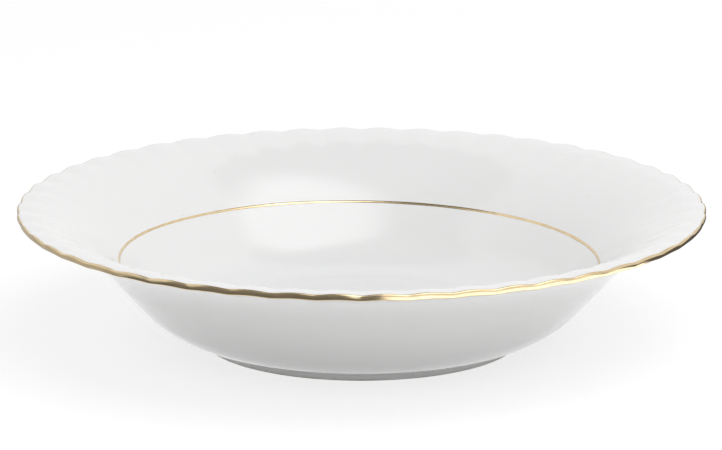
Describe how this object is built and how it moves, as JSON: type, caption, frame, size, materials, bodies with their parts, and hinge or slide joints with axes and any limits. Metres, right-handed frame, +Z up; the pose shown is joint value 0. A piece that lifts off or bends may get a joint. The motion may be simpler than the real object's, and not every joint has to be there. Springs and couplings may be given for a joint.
{
  "type": "porcelain serving bowl",
  "caption": "Wide, shallow glazed porcelain serving bowl on a low foot ring, with a fluted flange, a lobed gilded lip and a thin gold line at the top of the well.",
  "frame": {"origin": "centre of the foot ring, on the surface that the bowl stands on", "axes": "+Z up, along the bowl's axis of rotation; +X and +Y lie in the standing plane, with a lobe centred on +X"},
  "size_m": [0.26, 0.2598, 0.052],
  "materials": {
    "fired_clay": "matt white fired porcelain",
    "unglazed_clay": "matt, unglazed where it stands",
    "clear_glaze": "glossy white glaze",
    "burnished_gold": "fired gold, semi-bright"
  },
  "bodies": {
    "root": {"porcelain_body": "fired_clay", "foot_ring": "unglazed_clay", "inner_glaze": "clear_glaze", "outer_glaze": "clear_glaze", "recess_glaze": "clear_glaze", "rim_gilding": "burnished_gold", "gold_line": "burnished_gold"}
  },
  "joints": []
}
